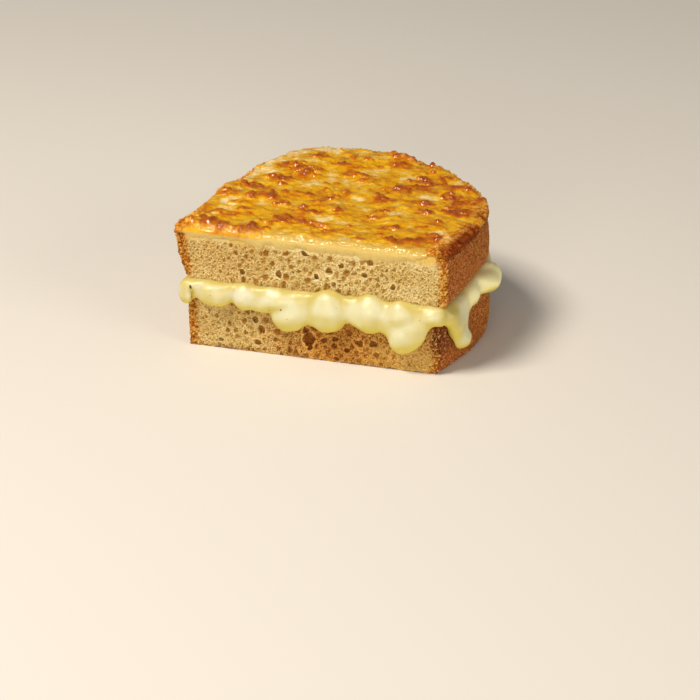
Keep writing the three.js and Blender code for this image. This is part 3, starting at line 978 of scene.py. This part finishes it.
patches = spots(BLISTERS + small, 1.35, 0.9) + 0.4 * wobble(points, 2.4, 1)
patches = smoothstep(patches, 0.3, 0.85) * (1 - 0.7 * crusty)
halo = smoothstep(spots(BLISTERS + small, 2.0, 1.4) + 0.35 * wobble(points, 3.5, 12), 0.1, 0.9)
ragged = 0.5 * wobble(points, 3.5, 9) + 0.3 * wobble(points, 1.5, 10)
spared = smoothstep(spots(SPARED, 1.3, 1.0) + ragged, 0.2, 1.0)
# A pale border runs along the round crust, at the back of the -X end.
border = 1 - smoothstep(rim + 3.5 * wobble(points, 6, 14) + 1.5 * wobble(points, 2, 15), 4.0, 9.0)
border *= (1 - smoothstep(x, -12, 6)) * smoothstep(y, -22, -6)
spared = np.maximum(spared, 0.9 * border)
back_edge = smoothstep(y, 18, 40) * smoothstep(x, -45, -30) * (1 - smoothstep(x, 8, 18))
fringe = 1 - smoothstep(y, CUT_Y + 1.5, CUT_Y + 4)
for name, values in {
    "blistered": patches * upward, "sheet": upward * (1 - 0.6 * crusty), "crusty": crusty,
    "back edge": upward * back_edge, "fringe": upward * fringe,
}.items():
    weigh(baked_cheese, name, values)

# %% The lower rim sags onto the bread, and hides the joint
hanging = 1 - smoothstep(normals[:, 2], -0.75, -0.05)
at_front = 1 - smoothstep(y, CUT_Y + 0.6, CUT_Y + 1.6)
weigh(baked_cheese, "rim", hanging * (rim < 3) * (1 - at_front))
shift(baked_cheese, "rim", -0.7, "Z")

# %% How far the cut edge melts down over the crumb
FILM = 4.4  # mm, the longest run

front = (y < CUT_Y + 0.8) & (normals[:, 2] < 0.6)
places = np.arange(x[front].min(), x[front].max(), 2.0)
lower_edge = [z[front & (np.abs(x - place) < 2)].min() for place in places]
film = front * (1 - smoothstep(z - np.interp(x, places, lower_edge), 0, 2.6))
along = points * (1, 0, 0.3)  # so that a run keeps its width on its way down
reach = 0.55 + 0.5 * wobble(along, 7, 3) + 0.45 * wobble(along, 1.8, 6)
reach *= smoothstep(x, -49, -44) * (1 - smoothstep(x, 34, 50)) * (1 - 0.8 * crusty)
reach *= 0.45 + 0.55 * smoothstep(x, -36, -8)
print("baked_cheese - the film runs down", round(FILM * float(reach[front].mean()), 1), "mm on average")

# %% Let it run, with a rolled upper part and a thin toe
weigh(baked_cheese, "runs down", film**2 * reach.clip(0.02, 1))
weigh(baked_cheese, "roll", 4 * film * (1 - film))
weigh(baked_cheese, "toe", film**3)
shift(baked_cheese, "runs down", -FILM, "Z")
shift(baked_cheese, "roll", -0.5, "Y")
shift(baked_cheese, "toe", 0.3, "Y")

# %% Streaks along X: an empty that is stretched carries the coordinates of their patterns
FOLDS = grain("folds", "CLOUDS", 6.0, noise_depth=1)
STREAKS = grain("streaks", "CLOUDS", 2.6, noise_depth=1)
STREAK_STRETCH = 1.4

bpy.ops.object.select_all(action="DESELECT")
bpy.ops.object.empty_add()
stretcher = bpy.context.active_object
stretcher.scale = (STREAK_STRETCH, 1, 1)
drawn_out = {"texture_coords": "OBJECT", "texture_coords_object": stretcher}
before = points_of(baked_cheese)
press(baked_cheese, "sheet", FOLDS, 1.6, **drawn_out)
press(baked_cheese, "sheet", STREAKS, 0.7, **drawn_out)
ridge = (points_of(baked_cheese) - before)[:, 2]
shift(baked_cheese, "back edge", 0.9, "Z")
bpy.data.objects.remove(stretcher)
print("baked_cheese - ridges from", ridge.min().round(2), "to", ridge.max().round(2), "mm")

# %% Blisters, wrinkles and the crumbly rim
WIDE_DOMES = cells("wide blisters", 4.0)
DOMES = cells("blisters", 2.0)
GRAINS = cells("grains on the blisters", 1.0)
WRINKLES = grain("wrinkles of the skin", "CLOUDS", 1.3, noise_depth=2)

smooth_sheet = points_of(baked_cheese)
press(baked_cheese, "blistered", WIDE_DOMES, -2.2, 0.66)
press(baked_cheese, "blistered", DOMES, -1.1, 0.6)
press(baked_cheese, "blistered", GRAINS, -0.5, 0.6)
press(baked_cheese, "sheet", WRINKLES, 0.45)
press(baked_cheese, "crusty", CRUST_SWELL, 1.2)
press(baked_cheese, "crusty", CRUST_GRIT, 1.3)
press(baked_cheese, "fringe", CRUST_GRIT, 0.45)
lump = (points_of(baked_cheese) - smooth_sheet)[:, 2]
only(baked_cheese)
bpy.ops.object.shade_smooth()
print("baked_cheese - blisters up to", lump.max().round(2), "mm")

# %% [markdown]
# ### The finish of the baked cheese
#
# Cheese browns by heat: pale cream, butter yellow, gold, amber and at last a reddish brown. So its material
# first adds up how much heat each place got. Blisters, ridges and the cheese round them got more, spared
# places got less, and a few soft patterns stand for the oven. One ramp then turns heat into colour. A thin
# oily coat gives the sharp glints on the blisters, and light goes a little way into the sheet. The crisp
# rim is matt and sandy, like the crust beside it.

# %% What the material reads: the shape, painted on the points
for name, values in {
    "blistered_skin": patches, "lump": lump * (1 - crusty), "relief": lump * crusty, "ridge": ridge,
    "crusty_rim": crusty, "rind": rim, "spared": spared, "halo": halo, "film": film,
    "straight_crust": smoothstep(near_straight, 0.1, 0.45),
}.items():
    paint(baked_cheese, name, values)

# %% Heat turned into colour
BROWNING = {
    0.06: "#F2DA9C", 0.18: "#E9C272", 0.32: "#E2B21A", 0.48: "#D89A02", 0.64: "#C46E00", 0.8: "#AE5A04",
    0.95: "#98480A",
}
STREAK_PATTERN = (1.3, 1, 1)  # streaks are longer along X


def browned(material, place, streak, fine):
    drawn = object_mm(material, STREAK_PATTERN)
    broad = node(material, "TexNoise", {"Vector": drawn, "Scale": 1 / 8})
    x_mm = node(material, "SeparateXYZ", {0: place}, output="X")
    heat = soft_sum(
        material,
        0.02,
        (x_mm, 5.0, 50.0, 0.07),
        (broad, 0.3, 0.7, 0.28),
        (streak, 0.3, 0.7, 0.26),
        ("ridge", -0.5, 0.6, 0.14),
        ("halo", 0.0, 1.0, 0.09),
        ("blistered_skin", 0.0, 1.0, 0.1),
        ("lump", 0.0, 1.1, 0.3),
        (fine, 0.35, 0.65, 0.07),
        ("spared", 0.0, 1.0, -0.26),
    )
    return node(material, "ValToRGB", {0: heat}, stops=BROWNING)


# %% The pale cut edge, and the film below it
CUT_EDGE, CUT_FILM, FILM_TOE = "#D0AA48", "#DABF6E", "#DAB86E"


def pale_at_the_cut(material, colour, place, edge):
    """edge is the distance behind the cut, made uneven by the streaks. Its round end browned as well."""
    x_mm = node(material, "SeparateXYZ", {0: place}, output="X")
    along_cut = soft_sum(material, 0, (x_mm, -27, -8, 1))
    half = node(material, "Math", {0: along_cut, 1: 0.5}, operation="MULTIPLY")
    film_share = soft_sum(material, "film", (edge, 0.0, -2.6, half))
    colour = laid_over(material, colour, CUT_EDGE, edge, 0.6, -1.6, along_cut)
    colour = laid_over(material, colour, CUT_FILM, film_share, 0.2, 0.75)
    return laid_over(material, colour, FILM_TOE, "film", 0.7, 1.0)


# %% The crisp rim: toasted crumbs of cheese, darkest over the straight crust
RIM_GRAIN = 0.62  # mm, toasted crumbs
CRISP = {0.2: "#9C520A", 0.33: "#BC7016", 0.45: "#D29230", 0.6: "#E8BC6C"}
OUTERMOST = {0.2: "#4E1A02", 0.33: "#722E04", 0.45: "#883A06", 0.62: "#AC6020"}


def crisp_rim(material, place):
    grit = node(material, "TexNoise", {"Vector": place, "Scale": 1 / RIM_GRAIN} | GRITTY)
    grains = sandy(material, grit, 0.5)
    crisp = node(material, "ValToRGB", {0: grains}, stops=CRISP)
    outermost = node(material, "ValToRGB", {0: grains}, stops=OUTERMOST)
    return laid_over(material, crisp, outermost, "rind", 7.0, 2.0, "straight_crust")


# %% Baked cheese: golden, oily and scorched on its blisters
def baked_golden_cheese():
    material = new_material("baked cheese")
    place = object_mm(material)
    drawn = object_mm(material, STREAK_PATTERN)
    streak = node(material, "TexNoise", {"Vector": drawn, "Scale": 1 / 2.4} | THREADY)
    fine = node(material, "TexNoise", {"Vector": place, "Scale": 1 / 0.7} | THREADY)
    behind = behind_cut(material, place)
    edge = node(material, "Math", {0: streak, 1: -6.0, 2: behind}, operation="MULTIPLY_ADD")
    colour = pale_at_the_cut(material, browned(material, place, streak, fine), place, edge)
    wet = soft_sum(
        material, 0.3, (edge, 3.0, 0.0, 0.3), (streak, 0.45, 0.6, 0.3), ("blistered_skin", 0.0, 1.0, 0.4)
    )
    finish(material, {
        "Base Color": laid_over(material, colour, crisp_rim(material, place), "crusty_rim"),
        "Roughness": node(material, "Mix", {0: "crusty_rim", 2: 0.305, 3: 0.776}, data_type="FLOAT"),
        "Specular IOR Level": 0.12,
        "Coat Weight": soft_sum(material, 0, ("crusty_rim", 1, 0, wet)),
        "Coat Roughness": 0.08,
        "Subsurface Weight": 0.2,
        "Subsurface Radius": (2.0, 1.1, 0.4),
        "Normal": node(material, "Bump", {"Height": fine, "Distance": 0.5 * MM, "Strength": 0.8}),
    })
    return material


dress(baked_cheese, baked_golden_cheese(), "cheese_topping")

# %% [markdown]
# ## Camera, floor and light
#
# A long lens from a metre away keeps the sandwich's edges nearly parallel. The view is given by its
# direction and the point that it looks at. A soft warm key lamp stands above, in front of the round end.
# One fill comes from the side of the straight crust and one from the front, so that the crumb shows its
# holes without black shadows.

# %% Camera
VIEW_AZIMUTH = math.radians(16.553)
VIEW_ELEVATION = math.radians(25)
VIEW_DISTANCE = 1.0
LOOK_AT = Vector((0.017537, -0.048283, 0.007536))
LENS = 140.87  # mm, on a square sensor SENSOR mm wide
SENSOR = 36

camera_data = bpy.data.cameras.new("camera")
camera_data.lens = LENS
camera_data.sensor_width = SENSOR
camera = bpy.data.objects.new("camera", camera_data)
bpy.context.collection.objects.link(camera)
flat = math.cos(VIEW_ELEVATION)
towards = Vector((math.sin(VIEW_AZIMUTH) * flat, -math.cos(VIEW_AZIMUTH) * flat, math.sin(VIEW_ELEVATION)))
camera.location = LOOK_AT + VIEW_DISTANCE * towards
camera.rotation_euler = (-towards).to_track_quat("-Z", "Y").to_euler()
bpy.context.scene.camera = camera
print("camera at", [round(v, 3) for v in camera.location])

# %% Floor: a pale matt board
bpy.ops.object.select_all(action="DESELECT")
bpy.ops.mesh.primitive_plane_add(size=6, location=(0, 0, 0))
floor = bpy.context.active_object
floor.name = "floor"
board = new_material("pale matt board")
finish(board, {"Base Color": "#E6E4E0", "Roughness": 0.9})
floor.data.materials.append(board)

# %% Lamps and room
WARM_WHITE = "#FFF2E0"
AIM = Vector((0, 0, 0.02))


def lamp(name, place, size, watts):
    data = bpy.data.lights.new(name, "AREA")
    data.size = size
    data.energy = watts
    data.color = linear(WARM_WHITE)[:3]
    light = bpy.data.objects.new(name, data)
    light.location = place
    light.rotation_euler = (AIM - Vector(place)).to_track_quat("-Z", "Y").to_euler()
    bpy.context.collection.objects.link(light)


lamp("key", (-0.4, -0.45, 1.0), 0.36, 12.5)
lamp("fill", (1.2, -0.55, 0.45), 0.7, 5.5)
lamp("front", (0.1, -1.3, 0.3), 0.5, 5.0)

world = bpy.data.worlds.new("studio")
world.use_nodes = True
world.node_tree.nodes["Background"].inputs["Color"].default_value = linear("#F4F2EE")
world.node_tree.nodes["Background"].inputs["Strength"].default_value = 0.15
bpy.context.scene.world = world
bpy.context.scene.view_settings.view_transform = "Standard"
